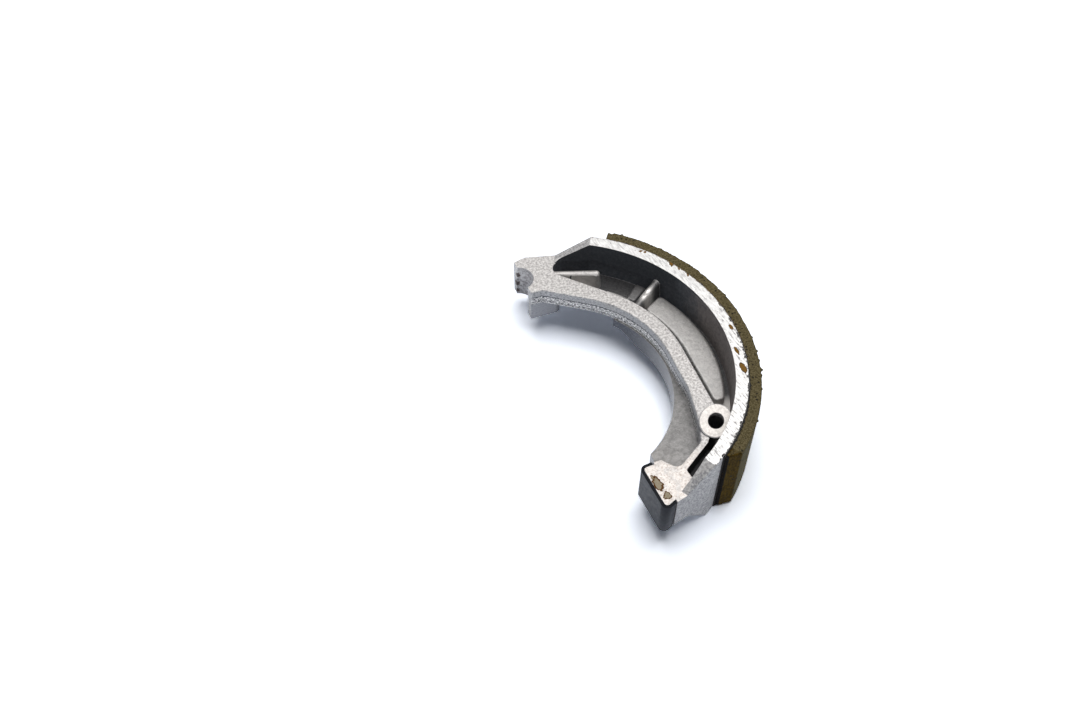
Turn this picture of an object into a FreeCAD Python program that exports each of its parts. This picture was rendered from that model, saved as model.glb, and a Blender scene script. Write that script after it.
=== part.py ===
import FreeCAD, Part
import math
import os

# Brake shoe for a 110 mm drum, lying on its side, in millimetres.
# The drum's axis is Z through the origin, X runs through the middle of the
# lining, and the shoe rests on Z = 0. The anchor end is on the +Y side and
# the cam end on the -Y side. Angles are measured from +X about the drum axis.

V = FreeCAD.Vector

# Friction lining and its bond
drum_r = 55.0
shoe_width = 25.0
lining_t = 3.5
lining_half_angle = 54.95
lining_inset = 0.3
cam_bevel_angle = 3.35
cam_bevel_foot_h = 1.0
anchor_bevel_angle = 1.9
anchor_bevel_foot_h = 3.0
bond_t = 0.2
bond_overrun = 1.0

# Table that carries the lining
table_t = 3.6
table_half_angle = 60.0

# Levels across the width
web_top_z = 12.6
web_t = 3.0
body_top_z = 18.0
body_low_z = 6.0
boss_top_z = 20.0

# Rim of the pocket
pocket_w = 11.0
rim_t = 4.4
rim_turn_angle = 57.0
rim_edge_r = 0.5
rim_straight_len = 14.0
lower_rim_step = 0.5
lower_rim_t = 3.6
lower_rim_start_angle = 41.0
lower_rim_full_angle = 24.0
web_setback = 3.2

# Anchor end, placed from the centre of the anchor pin
anchor_depth = 13.3
anchor_angle = 88.6
anchor_r = 4.65
prong_out_x = 0.9
prong_out_y = 6.8
arm_bend_x = 4.4
arm_bend_y = 7.75
arm_bend_r = 6.0
prong_in_x = 1.65
prong_in_y = -6.95
arm_heel_x = 5.3
arm_heel_y = -7.1
arm_heel_r = 1.5
anchor_block_len = 11.5
anchor_block_r = 1.6
anchor_ramp_len = 10.6

# Round end of the pocket, placed from the anchor pin
pocket_leave_angle = 46.0
pocket_tip_x = 14.2
pocket_tip_y = -0.6
pocket_tip_r = 3.1

# Cam end, placed from the middle of the pushed face
cam_depth = 12.4
cam_angle = 77.4
cam_face_tilt_angle = 4.3
cam_face_len = 15.4
cam_ramp_top_len = 8.3
cam_ramp_low_len = 6.4
cam_wall_angle = 69.6
cam_heel_x = 6.1
cam_heel_y = 8.1
cam_heel_r = 1.2
leaf_end_x = 5.9
leaf_end_angle = 66.0

# Valley between the cam block and the neck, and slot beside the block
valley_x = 9.9
valley_y = 6.6
valley_r = 2.0
slot_w = 3.6
slot_cam_angle = 62.5
slot_end_angle = 63.9
slot_r = 1.0

# Pressed steel cap
cap_t = 0.9
cap_leg_len = 3.9
cap_leg_lean_angle = 19.0
cap_bend_r = 1.8
cap_gap = 0.03
cap_seat_past = 0.4

# Spring boss, and the neck and slot placed from it
boss_depth = 10.8
boss_angle = 39.8
boss_r = 4.55
boss_taper = 0.35
boss_slope_angle = 20.0
spring_hole_r = 2.2
neck_x = -6.0
neck_y = -3.6
neck_bend_x = -4.0
neck_bend_y = 1.9
neck_r = 3.0
slot_boss_end_x = -4.4
slot_boss_end_y = -4.7

# Raised pad in the pocket
pad_h = 3.0
pad_gap = 1.7
pad_out_gap = 1.8
pad_start_angle = 29.6
pad_end_w = 3.2
pad_corner_r = 1.4
pad_edge_r = 0.6

# Rib, stop block, ledge and ridge in the pocket, with heights over the web
rib_angle = 33.0
rib_foot_w = 3.8
rib_crest_w = 2.4
rib_rim_h = 4.6
rib_table_h = 6.4
stop_from_angle = 35.2
stop_to_angle = 40.4
stop_rim_gap = 1.3
stop_table_gap = 1.7
stop_h = 3.6
stop_taper = 0.7
stop_edge_r = 0.75
ledge_from_angle = 38.6
ledge_to_angle = 49.0
ledge_w = 1.7
ledge_h = 3.8
ridge_start_x = -3.4
ridge_start_y = 1.3
ridge_end_x = 8.9
ridge_end_y = -5.5
ridge_foot_w = 3.4
ridge_crest_w = 2.2
ridge_crown_h = 0.8
ridge_start_h = 3.4
ridge_end_h = 6.2

# Depth by which joined bodies run into each other
root = 0.8

table_out_r = drum_r - lining_t - bond_t
table_in_r = table_out_r - table_t
table_mid_r = table_out_r - table_t / 2
rim_out_r = table_in_r - pocket_w
rim_in_r = rim_out_r - rim_t
lower_rim_in_r = rim_in_r - lower_rim_step


def polar(radius, angle):
    a = math.radians(angle)
    return V(radius * math.cos(a), radius * math.sin(a), 0)


def beside(point, x, y):
    return point + V(x, y, 0)


def lift(point, z):
    return V(point.x, point.y, z)


def line(a, b):
    return Part.LineSegment(a, b).toShape()


def curve(a, middle, b):
    return Part.Arc(a, middle, b).toShape()


def arc(radius, start, end):
    return curve(polar(radius, start), polar(radius, (start + end) / 2), polar(radius, end))


def polygon(points):
    return [line(a, b) for a, b in zip(points, points[1:] + points[:1])]


def prism(edges, low, high):
    face = Part.Face(Part.Wire(edges))
    face.translate(V(0, 0, low))
    return face.extrude(V(0, 0, high - low))


def sector(r_in, r_out, start, end, low, high):
    edges = [
        arc(r_in, start, end),
        line(polar(r_in, end), polar(r_out, end)),
        arc(r_out, end, start),
        line(polar(r_out, start), polar(r_in, start)),
    ]
    return prism(edges, low, high)


# Where a line from a point outside a circle touches it, on the left of the
# line to the centre for side +1 and on the right for side -1.
def touch(point, centre, radius, side):
    to_centre = centre - point
    reach = math.sqrt(to_centre.Length ** 2 - radius ** 2)
    turn = side * math.asin(radius / to_centre.Length)
    a = math.atan2(to_centre.y, to_centre.x) + turn
    return point + V(math.cos(a), math.sin(a), 0) * reach


def arc_between(centre, radius, a, b):
    middle = (a + b) * 0.5 - centre
    middle.normalize()
    return curve(a, centre + middle * radius, b)


def upright_edges(solid, points):
    found = []
    for edge in solid.Edges:
        box = edge.BoundBox
        if box.XLength > 1e-6 or box.YLength > 1e-6:
            continue
        if any(math.hypot(box.XMin - p.x, box.YMin - p.y) < root / 2 for p in points):
            found.append(edge)
    return found


def rounded(solid, radius, points):
    return solid.makeFillet(radius, upright_edges(solid, points))


# Solid with a side view given as (run, z) points. The run follows the drum's
# tangent at the given angle, away from the lining.
def side_view(angle, points, r_in, r_out):
    side = math.copysign(1.0, angle)
    a = math.radians(angle)
    tangent = V(-math.sin(a) * side, math.cos(a) * side, 0)
    start = polar(r_in, angle)
    corners = [start + tangent * run + V(0, 0, z) for run, z in points]
    face = Part.Face(Part.Wire(polygon(corners)))
    return face.extrude(polar(r_out - r_in, angle))


# The shoe narrows from the table's width to the end block's over each ramp.
def narrowing(angle, run_top, run_low):
    points = [
        (-root, 0.0),
        (0.0, 0.0),
        (run_low, body_low_z),
        (shoe_width, body_low_z),
        (shoe_width, body_top_z),
        (run_top, body_top_z),
        (0.0, shoe_width),
        (-root, shoe_width),
    ]
    return side_view(angle, points, rim_in_r, drum_r)


anchor = polar(drum_r - anchor_depth, anchor_angle)
prong_out = beside(anchor, prong_out_x, prong_out_y)
arm_bend = beside(anchor, arm_bend_x, arm_bend_y)
prong_in = beside(anchor, prong_in_x, prong_in_y)
arm_heel = beside(anchor, arm_heel_x, arm_heel_y)
pocket_tip = beside(anchor, pocket_tip_x, pocket_tip_y)
cam_face_mid = polar(drum_r - cam_depth, -cam_angle)
cam_heel = beside(cam_face_mid, cam_heel_x, cam_heel_y)
valley = beside(cam_face_mid, valley_x, valley_y)
slot_cam_end = polar(table_in_r - slot_w, -slot_cam_angle)
boss_mid = polar(drum_r - boss_depth, -boss_angle)
neck = beside(boss_mid, neck_x, neck_y)
neck_bend = beside(boss_mid, neck_bend_x, neck_bend_y)
slot_boss_end = beside(boss_mid, slot_boss_end_x, slot_boss_end_y)
rim_straight_end = V(rim_in_r, -rim_straight_len, 0)


# Point on the cam end, measured along the pushed face towards the outside of
# the shoe and from that face into the block.
def cam_point(along, inward):
    a = math.radians(cam_face_tilt_angle)
    outward = V(math.sin(a), -math.cos(a), 0)
    into = V(math.cos(a), math.sin(a), 0)
    return cam_face_mid + outward * along + into * inward


# The same, on a line parallel to the cap's outer leg, which leans towards the
# inner one. The offset is taken from the leg's outer face into the shoe.
def leg_point(inward, offset):
    lean = math.radians(cap_leg_lean_angle)
    along = cam_half - inward * math.tan(lean) - offset / math.cos(lean)
    return cam_point(along, inward)


cam_half = cam_face_len / 2
seat_offset = cap_t + cap_gap
seat_end = cap_leg_len + cap_seat_past
seat_face_in = cam_point(seat_offset - cam_half, cap_t)
seat_face_out = leg_point(cap_t, seat_offset)
seat_end_in = cam_point(seat_offset - cam_half, seat_end)
seat_end_out = leg_point(seat_end, seat_offset)
seat_step_in = cam_point(-cam_half, seat_end)
seat_step_out = leg_point(seat_end, 0.0)
seat_corner_r = cap_bend_r - cap_t
pocket_table_end = polar(table_in_r, table_half_angle)
slot_far = polar(table_in_r, -slot_end_angle)


def table():
    return sector(table_in_r, table_out_r, -table_half_angle, table_half_angle, 0.0, shoe_width)


def valley_edges():
    heel_side = touch(cam_heel, valley, valley_r, -1)
    neck_side = touch(neck, valley, valley_r, 1)
    return [
        line(cam_heel, heel_side),
        arc_between(valley, valley_r, heel_side, neck_side),
        line(neck_side, neck),
    ]


# Inner edge of the upper body, from the cam end to the anchor end.
def inner_edges():
    edges = [
        line(seat_face_in, seat_end_in),
        line(seat_end_in, seat_step_in),
        line(seat_step_in, cam_heel),
    ]
    edges += valley_edges()
    edges += [
        line(neck, neck_bend),
        line(neck_bend, rim_straight_end),
        line(rim_straight_end, polar(rim_in_r, 0.0)),
        arc(rim_in_r, 0.0, rim_turn_angle),
        line(polar(rim_in_r, rim_turn_angle), arm_heel),
        line(arm_heel, prong_in),
    ]
    return edges


# Outer edge of the upper body, from the anchor end back to the cam end. It
# runs inside the table between the two table ends.
def outer_edges():
    return [
        line(prong_in, prong_out),
        line(prong_out, arm_bend),
        line(arm_bend, polar(table_out_r, table_half_angle)),
        line(polar(table_out_r, table_half_angle), polar(table_mid_r, table_half_angle)),
        arc(table_mid_r, table_half_angle, -table_half_angle),
        line(polar(table_mid_r, -table_half_angle), polar(table_out_r, -table_half_angle)),
        line(polar(table_out_r, -table_half_angle), seat_step_out),
        line(seat_step_out, seat_end_out),
        line(seat_end_out, seat_face_out),
        line(seat_face_out, seat_face_in),
    ]


def inner_top_edges(solid):
    found = []
    for edge in solid.Edges:
        box = edge.BoundBox
        middle = edge.CenterOfMass
        level = box.ZMin > body_top_z - 1e-6
        inside = math.hypot(middle.x, middle.y) < neck.Length + root
        beyond_ends = middle.x > seat_end_in.x or middle.y > 0 and middle.x > prong_in.x + root
        if level and inside and beyond_ends:
            found.append(edge)
    return found


def upper_body():
    body = prism(inner_edges() + outer_edges(), web_top_z, body_top_z)
    body = rounded(body, arm_bend_r, [arm_bend])
    body = rounded(body, cam_heel_r, [cam_heel])
    body = rounded(body, neck_r, [neck, neck_bend, rim_straight_end])
    body = rounded(body, arm_heel_r, [arm_heel])
    body = rounded(body, seat_corner_r, [seat_face_in, seat_face_out])
    return body.makeFillet(rim_edge_r, inner_top_edges(body))


# The pocket lies between the rim and the table and runs out in a slot beside
# the cam block.
def pocket(low, high):
    leave = polar(rim_out_r, pocket_leave_angle)
    tip_in = touch(leave, pocket_tip, pocket_tip_r, 1)
    tip_out = touch(pocket_table_end, pocket_tip, pocket_tip_r, -1)
    straight_end = V(rim_out_r, boss_mid.y + boss_r, 0)
    edges = [
        arc(table_in_r, -slot_end_angle, table_half_angle),
        line(pocket_table_end, tip_out),
        arc_between(pocket_tip, pocket_tip_r, tip_out, tip_in),
        line(tip_in, leave),
        arc(rim_out_r, pocket_leave_angle, 0.0),
        line(polar(rim_out_r, 0.0), straight_end),
        line(straight_end, slot_boss_end),
        line(slot_boss_end, slot_cam_end),
        line(slot_cam_end, slot_far),
    ]
    solid = prism(edges, low, high)
    return rounded(solid, slot_r, [slot_cam_end, slot_far])


def anchor_wall():
    tip_out = touch(pocket_table_end, pocket_tip, pocket_tip_r, -1)
    outline = [
        pocket_table_end,
        polar(table_out_r, table_half_angle),
        arm_bend,
        V(arm_bend.x, tip_out.y, 0),
        tip_out,
    ]
    return prism(polygon(outline), 0.0, shoe_width).common(narrowing(table_half_angle, anchor_ramp_len, anchor_ramp_len))


def anchor_block():
    inner_corner = V(anchor.x + anchor_block_len, prong_in.y, 0)
    outline = [
        prong_in,
        prong_out,
        arm_bend,
        V(inner_corner.x, pocket_tip.y + pocket_tip_r, 0),
        inner_corner,
    ]
    block = prism(polygon(outline), body_low_z, web_top_z)
    block = rounded(block, arm_bend_r, [arm_bend])
    return rounded(block, anchor_block_r, [inner_corner])


def cam_wall():
    table_end = polar(table_out_r, -table_half_angle)
    wall_end = polar(table_in_r, -cam_wall_angle)
    edges = [
        arc(table_in_r, -cam_wall_angle, -table_half_angle),
        line(polar(table_in_r, -table_half_angle), table_end),
        line(table_end, seat_step_out),
        line(seat_step_out, wall_end),
    ]
    return prism(edges, 0.0, shoe_width).common(narrowing(-table_half_angle, cam_ramp_top_len, cam_ramp_low_len))


def cam_block():
    outline = [
        seat_face_in,
        seat_end_in,
        seat_step_in,
        V(cam_face_mid.x + leaf_end_x, cam_heel.y, 0),
        V(cam_face_mid.x + leaf_end_x, cam_heel.y + lower_rim_t, 0),
        slot_cam_end,
        polar(table_mid_r, -table_half_angle),
        polar(table_out_r, -table_half_angle),
        seat_step_out,
        seat_end_out,
        seat_face_out,
    ]
    block = prism(polygon(outline), body_low_z, web_top_z)
    block = rounded(block, seat_corner_r, [seat_face_in, seat_face_out])
    return block.cut(narrowing_waste())


# What the lower ramp leaves off between the table's end and the cam block.
def narrowing_waste():
    points = [(-root, -root), (0.0, 0.0), (cam_ramp_low_len, body_low_z), (cam_ramp_low_len, -root)]
    return side_view(-table_half_angle, points, rim_in_r, drum_r)


def inside_leaf(solid):
    keep = Part.makeBox(drum_r, 2 * drum_r, shoe_width, V(cam_face_mid.x + leaf_end_x, -drum_r, 0))
    return solid.common(keep)


# The web is one leaf from the table to the lower rim; towards the anchor end
# it stops short of the rim's inner face.
def web():
    low = web_top_z - web_t
    cam_side = sector(lower_rim_in_r, table_mid_r, -leaf_end_angle, lower_rim_start_angle, low, web_top_z)
    setback_r = rim_in_r + web_setback
    anchor_side = sector(setback_r, table_mid_r, lower_rim_start_angle, table_half_angle, low, web_top_z)
    arm = prism(polygon([
        polar(setback_r, table_half_angle),
        polar(table_mid_r, table_half_angle),
        V(anchor.x + anchor_block_len, arm_bend.y - pocket_tip_r, 0),
        V(anchor.x + anchor_block_len, prong_in.y + web_setback, 0),
    ]), low, web_top_z)
    return inside_leaf(cam_side).fuse(anchor_side).fuse(arm)


def lower_rim():
    outer_r = lower_rim_in_r + lower_rim_t
    ring = sector(lower_rim_in_r, outer_r, -leaf_end_angle, lower_rim_start_angle, body_low_z, web_top_z)
    run = lower_rim_in_r * math.radians(lower_rim_start_angle - lower_rim_full_angle)
    below = [
        (root, 0.0),
        (root, web_top_z),
        (0.0, web_top_z - web_t / 2),
        (-run, body_low_z),
        (-run, 0.0),
    ]
    return inside_leaf(ring).cut(side_view(lower_rim_start_angle, below, lower_rim_in_r / 2, drum_r))


# Round boss. Its top slopes down towards the cam end, and its middle is at
# boss_top_z.
def boss():
    reach = boss_r + boss_taper + root
    rise = reach * math.tan(math.radians(boss_slope_angle))
    cone_h = boss_top_z + rise - web_top_z
    cone = Part.makeCone(boss_r + boss_taper, boss_r, cone_h, lift(boss_mid, web_top_z))
    side = [
        (-reach, web_top_z),
        (reach, web_top_z),
        (reach, boss_top_z - rise),
        (-reach, boss_top_z + rise),
    ]
    boss_radius = drum_r - boss_depth
    sloped = side_view(-boss_angle, side, boss_radius - reach, boss_radius + reach)
    return cone.common(sloped).common(Part.makeCylinder(table_mid_r, shoe_width))


def pad():
    r_in = rim_out_r + pad_gap
    r_out = table_in_r - pad_out_gap
    end_angle = -math.degrees(math.acos((r_in + pad_end_w) / r_out))
    outer_corner = polar(r_out, end_angle)
    inner_corner = V(r_in, outer_corner.y, 0)
    start_corner = polar(r_out, pad_start_angle)
    rim_corner = polar(r_in, pad_start_angle)
    edges = [
        arc(r_out, end_angle, pad_start_angle),
        line(start_corner, rim_corner),
        arc(r_in, pad_start_angle, 0.0),
        line(polar(r_in, 0.0), inner_corner),
        line(inner_corner, outer_corner),
    ]
    pad_top_z = web_top_z + pad_h
    solid = prism(edges, web_top_z - root, pad_top_z)
    solid = rounded(solid, pad_corner_r, [start_corner, rim_corner, outer_corner, inner_corner])
    top = [edge for edge in solid.Edges if edge.BoundBox.ZMin > pad_top_z - 1e-6]
    return solid.makeFillet(pad_edge_r, top)


# Upright section across a rib, with a round crest.
def rib_section(radius, top):
    a = math.radians(rib_angle)
    across = V(-math.sin(a), math.cos(a), 0)
    at = polar(radius, rib_angle)
    foot = across * (rib_foot_w / 2)
    crest = across * (rib_crest_w / 2)
    shoulder = top - rib_crest_w / 2
    low = web_top_z - root
    return Part.Wire([
        line(lift(at + foot, low), lift(at + crest, shoulder)),
        curve(lift(at + crest, shoulder), lift(at, top), lift(at - crest, shoulder)),
        line(lift(at - crest, shoulder), lift(at - foot, low)),
        line(lift(at - foot, low), lift(at + foot, low)),
    ])


def rib():
    near_rim = rib_section(rim_out_r - root, web_top_z + rib_rim_h)
    near_table = rib_section(table_in_r + root, web_top_z + rib_table_h)
    return Part.makeLoft([near_rim, near_table], True, True)


def stop_block():
    r_in = rim_out_r + stop_rim_gap
    r_out = table_in_r - stop_table_gap
    foot = [
        polar(r_in, stop_from_angle),
        polar(r_out, stop_from_angle),
        polar(r_out, stop_to_angle),
        polar(r_in, stop_to_angle),
    ]
    centre = (foot[0] + foot[1] + foot[2] + foot[3]) * 0.25
    crest = [p + (centre - p).normalize() * stop_taper for p in foot]
    lower = Part.Wire(polygon([lift(p, web_top_z - root) for p in foot]))
    upper = Part.Wire(polygon([lift(p, web_top_z + stop_h) for p in crest]))
    block = Part.makeLoft([lower, upper], True, True)
    edges = [e for e in block.Edges if e.BoundBox.ZMax > web_top_z]
    return block.makeFillet(stop_edge_r, edges)


def ledge():
    top = web_top_z + ledge_h
    r_out = rim_out_r + ledge_w
    return sector(rim_out_r - root, r_out, ledge_from_angle, ledge_to_angle, web_top_z - root, top)


# Half of the ridge's section, from its middle plane to one side. The crown is
# an arc over the crest.
def ridge_half(at, top, across):
    half_w = ridge_crest_w / 2
    crown_r = (half_w ** 2 + ridge_crown_h ** 2) / (2 * ridge_crown_h)
    half_turn = math.asin(half_w / crown_r) / 2
    middle = at + across * (crown_r * math.sin(half_turn))
    middle_z = top - crown_r * (1 - math.cos(half_turn))
    peak = lift(at, top)
    shoulder = lift(at + across * half_w, top - ridge_crown_h)
    foot = lift(at + across * (ridge_foot_w / 2), web_top_z - root)
    base = lift(at, web_top_z - root)
    return Part.Wire([
        line(base, peak),
        curve(peak, lift(middle, middle_z), shoulder),
        line(shoulder, foot),
        line(foot, base),
    ])


# Ridge that climbs from the round end of the pocket and ends in a round nose.
def ridge():
    ridge_start = beside(pocket_tip, ridge_start_x, ridge_start_y)
    ridge_end = beside(pocket_tip, ridge_end_x, ridge_end_y)
    along = ridge_end - ridge_start
    across = V(-along.y, along.x, 0).normalize()
    end_half = ridge_half(ridge_end, web_top_z + ridge_end_h, across)
    solid = Part.Face(end_half).revolve(ridge_end, V(0, 0, 1), 360)
    for side in (across, -across):
        start = ridge_half(ridge_start, web_top_z + ridge_start_h, side)
        end = ridge_half(ridge_end, web_top_z + ridge_end_h, side)
        solid = solid.fuse(Part.makeLoft([start, end], True, True))
    return solid.removeSplitter()


def anchor_seat():
    return Part.makeCylinder(anchor_r, shoe_width, anchor)


def spring_hole():
    return Part.makeCylinder(spring_hole_r, shoe_width, boss_mid)


# One aluminium casting: table, web, rims, arm, cam block, boss and the raised
# details in the pocket.
def shoe_casting():
    body = upper_body()
    for piece in (table(), anchor_wall(), anchor_block(), cam_wall(), cam_block(), web(), lower_rim()):
        body = body.fuse(piece)
    body = body.cut(pocket(web_top_z, shoe_width))
    for piece in (boss(), pad(), rib(), stop_block(), ledge(), ridge()):
        body = body.fuse(piece)
    body = body.cut(anchor_seat())
    body = body.cut(spring_hole())
    return body.removeSplitter()


# Plan of the lining, bevelled towards both ends.
def lining_edges(r_in):
    anchor_bevel = lining_half_angle - anchor_bevel_angle
    cam_bevel = lining_half_angle - cam_bevel_angle
    anchor_face = polar(r_in + anchor_bevel_foot_h, lining_half_angle)
    cam_face = polar(r_in + cam_bevel_foot_h, -lining_half_angle)
    return [
        arc(r_in, -lining_half_angle, lining_half_angle),
        line(polar(r_in, lining_half_angle), anchor_face),
        line(anchor_face, polar(drum_r, anchor_bevel)),
        arc(drum_r, anchor_bevel, -cam_bevel),
        line(polar(drum_r, -cam_bevel), cam_face),
        line(cam_face, polar(r_in, -lining_half_angle)),
    ]


def friction_lining():
    return prism(lining_edges(drum_r - lining_t), lining_inset, shoe_width - lining_inset)


# Adhesive film, squeezed out a little past both lining ends.
def bond_layer():
    half = lining_half_angle + math.degrees(bond_overrun / table_out_r)
    return sector(table_out_r, drum_r - lining_t, -half, half, lining_inset, shoe_width - lining_inset)


def cap_plan(depth, corner_r, leg):
    corners = [cam_point(depth - cam_half, depth), leg_point(depth, depth)]
    outline = [corners[0], cam_point(depth - cam_half, leg), leg_point(leg, depth), corners[1]]
    return rounded(prism(polygon(outline), body_low_z, body_top_z), corner_r, corners)


# Channel folded from sheet steel, pressed over the cam block.
def cam_cap():
    return cap_plan(0.0, cap_bend_r, cap_leg_len).cut(cap_plan(cap_t, cap_bend_r - cap_t, seat_end))


os.makedirs("parts", exist_ok=True)
pieces = {
    "shoe_casting": shoe_casting(),
    "friction_lining": friction_lining(),
    "bond_layer": bond_layer(),
    "cam_cap": cam_cap(),
}
for name, shape in pieces.items():
    shape.exportStep("parts/" + name + ".step")
    box = shape.BoundBox
    size = (box.XMin, box.YMin, box.ZMin, box.XMax, box.YMax, box.ZMax)
    print(name, shape.isValid(), len(shape.Solids), round(shape.Volume, 1), [round(v, 2) for v in size])
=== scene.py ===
import math

import bpy
from mathutils import Matrix, Vector, noise


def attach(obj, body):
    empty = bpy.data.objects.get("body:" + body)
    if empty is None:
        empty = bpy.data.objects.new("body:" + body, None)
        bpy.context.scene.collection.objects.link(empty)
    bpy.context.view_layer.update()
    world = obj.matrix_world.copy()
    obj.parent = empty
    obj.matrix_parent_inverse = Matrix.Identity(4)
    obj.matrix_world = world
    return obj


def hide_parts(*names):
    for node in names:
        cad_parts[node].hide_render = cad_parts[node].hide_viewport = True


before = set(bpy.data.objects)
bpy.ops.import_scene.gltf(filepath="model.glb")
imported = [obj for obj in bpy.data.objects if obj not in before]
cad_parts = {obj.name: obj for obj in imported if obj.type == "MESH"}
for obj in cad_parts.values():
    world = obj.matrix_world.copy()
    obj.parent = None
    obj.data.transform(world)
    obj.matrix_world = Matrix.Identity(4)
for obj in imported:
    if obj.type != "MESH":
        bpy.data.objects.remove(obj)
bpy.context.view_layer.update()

# The looks of one drum brake shoe: a material for each kind of piece, the worn
# lining, the beads of adhesive, a paper floor, two lamps and the camera.

MM = 0.001

# The shoe's sizes in millimetres and degrees, as in the solids. The drum's
# axis is Z through the origin, and angles are measured from +X about it.
DRUM_R = 55.0
LINING_IN_R = 51.5
LINING_HALF_ANGLE = 54.95
LINING_LOW, LINING_TOP = 0.3, 24.7
CAM_BEVEL_ANGLE, CAM_BEVEL_FOOT = 3.35, 1.0
ANCHOR_BEVEL_ANGLE, ANCHOR_BEVEL_FOOT = 1.9, 3.0
TABLE_OUT_R, TABLE_IN_R = 51.3, 47.7
SHOE_WIDTH = 25.0
WEB_TOP = 12.6
BODY_TOP = 18.0
RIM_OUT_R = 36.55
BOSS_PLACE, BOSS_R = (33.958, -28.293), 4.6
SPRING_HOLE_R = 2.2
PIN_PLACE, NOTCH_R = (1.019, 41.688), 4.65
SLOT_RADII, SLOT_TURNS = (43.6, 48.0), (-64.2, -45.5)
RIB_TURNS = (30.4, 34.6)
STOP_TURNS = (34.6, 41.5)
RECESS_END, RECESS_END_R = (15.219, 41.088), 3.1
# The straight end wall of the recess, by its direction outwards and its distance from the axis.
END_WALL_WAY, END_WALL_AWAY = (0.3338, 0.9426), 46.90
RIDGE_START = (11.82, 42.39)
RIDGE_ALONG, RIDGE_ACROSS = (0.875, -0.484, 0.0), (-0.484, -0.875, 0.0)
# The dark lines along the rim's inner wall, by the levels between which they run.
UPPER_LINE, LOWER_LINE = (15.3, 15.65), (13.35, 13.55)

# Most values of a fine noise lie between these.
SPREAD = (0.3, 0.7)


def polar(radius, angle, level=0.0):
    """The point at a radius and an angle in degrees about the drum's axis."""
    a = math.radians(angle)
    return Vector((radius * math.cos(a), radius * math.sin(a), level))


# Helpers for node trees.


def fill_inputs(tree, node, inputs):
    """Sets a node's inputs, or links them where the value is a socket."""
    for name, value in (inputs or {}).items():
        if isinstance(value, bpy.types.NodeSocket):
            tree.links.new(value, node.inputs[name])
        else:
            node.inputs[name].default_value = value


def place(tree, kind, inputs=None, **settings):
    """Adds a node, and sets its properties and inputs."""
    made = tree.nodes.new(kind)
    for name, value in settings.items():
        setattr(made, name, value)
    fill_inputs(tree, made, inputs)
    return made


def calc(tree, operation, a, b=0.0, c=0.0, clamp=False):
    return place(tree, "ShaderNodeMath", {0: a, 1: b, 2: c}, operation=operation, use_clamp=clamp).outputs[0]


def product(tree, *factors):
    total = factors[0]
    for factor in factors[1:]:
        total = calc(tree, "MULTIPLY", total, factor)
    return total


def largest(tree, *values):
    total = values[0]
    for value in values[1:]:
        total = calc(tree, "MAXIMUM", total, value)
    return total


def outside_of(tree, mask):
    return calc(tree, "SUBTRACT", 1.0, mask)


def fade(tree, value, start, end, low=0.0, high=1.0):
    """Goes smoothly from low to high as value goes from start to end."""
    inputs = {"Value": value, "From Min": start, "From Max": end, "To Min": low, "To Max": high}
    return place(tree, "ShaderNodeMapRange", inputs, interpolation_type="SMOOTHSTEP").outputs["Result"]


def within(tree, value, low, high, soft):
    """1 between low and high, and 0 outside, with soft edges. Low may be a socket."""
    if isinstance(low, bpy.types.NodeSocket):
        rise = fade(tree, calc(tree, "SUBTRACT", value, low), -soft, soft)
    else:
        rise = fade(tree, value, low - soft, low + soft)
    fall = fade(tree, value, high - soft, high + soft, 1.0, 0.0)
    return calc(tree, "MULTIPLY", rise, fall)


def tint(tree, factor, a, b):
    """Goes from colour a to colour b as the factor goes from 0 to 1."""
    mix = place(tree, "ShaderNodeMix", {0: factor, 6: colour(a), 7: colour(b)}, data_type="RGBA")
    return mix.outputs[2]


def colour(value):
    """A tuple of three gets its alpha, and a socket stays as it is."""
    return (*value, 1.0) if isinstance(value, tuple) else value


def mottled(tree, value, start, end, a, b):
    """Goes smoothly from colour a to colour b as value goes from start to end."""
    return tint(tree, fade(tree, value, start, end), a, b)


def laid_over(tree, under, mask, share, over):
    """Puts a colour over another where the mask is, by the share given."""
    return tint(tree, calc(tree, "MULTIPLY", mask, share), under, over)


def vector_calc(tree, operation, a, b=(0.0, 0.0, 0.0)):
    """Gives a value for a length or a dot product, and a vector for all else."""
    made = place(tree, "ShaderNodeVectorMath", {0: a, 1: b}, operation=operation)
    return made.outputs["Value" if operation in ("LENGTH", "DOT_PRODUCT") else "Vector"]


def axes_of(tree, vector):
    return place(tree, "ShaderNodeSeparateXYZ", {0: vector}).outputs


def flat_distance(tree, point, centre):
    """How far a point is from a centre, seen along Z."""
    away = vector_calc(tree, "SUBTRACT", point, (*centre, 0.0))
    return vector_calc(tree, "LENGTH", vector_calc(tree, "MULTIPLY", away, (1.0, 1.0, 0.0)))


def noise_at(tree, vector, scale, detail, roughness):
    inputs = {"Vector": vector, "Scale": scale, "Detail": detail, "Roughness": roughness}
    return place(tree, "ShaderNodeTexNoise", inputs).outputs["Fac"]


def wandering(tree, value, wobble, amount):
    """Moves a value up and down by a noise that goes from 0 to 1."""
    return calc(tree, "MULTIPLY_ADD", calc(tree, "SUBTRACT", wobble, 0.5), amount, value)


def group_of(name, inputs, outputs):
    """A shader node group with float or vector sockets. Returns the tree, its input sockets and its output node."""
    tree = bpy.data.node_groups.new(name, "ShaderNodeTree")
    kinds = {"value": "NodeSocketFloat", "vector": "NodeSocketVector"}
    for in_out, sockets in (("INPUT", inputs), ("OUTPUT", outputs)):
        for label, kind in sockets.items():
            tree.interface.new_socket(name=label, in_out=in_out, socket_type=kinds[kind])
    return tree, tree.nodes.new("NodeGroupInput").outputs, tree.nodes.new("NodeGroupOutput").inputs


def put_out(tree, sockets, results):
    for name, value in results.items():
        tree.links.new(value, sockets[name])


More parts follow.
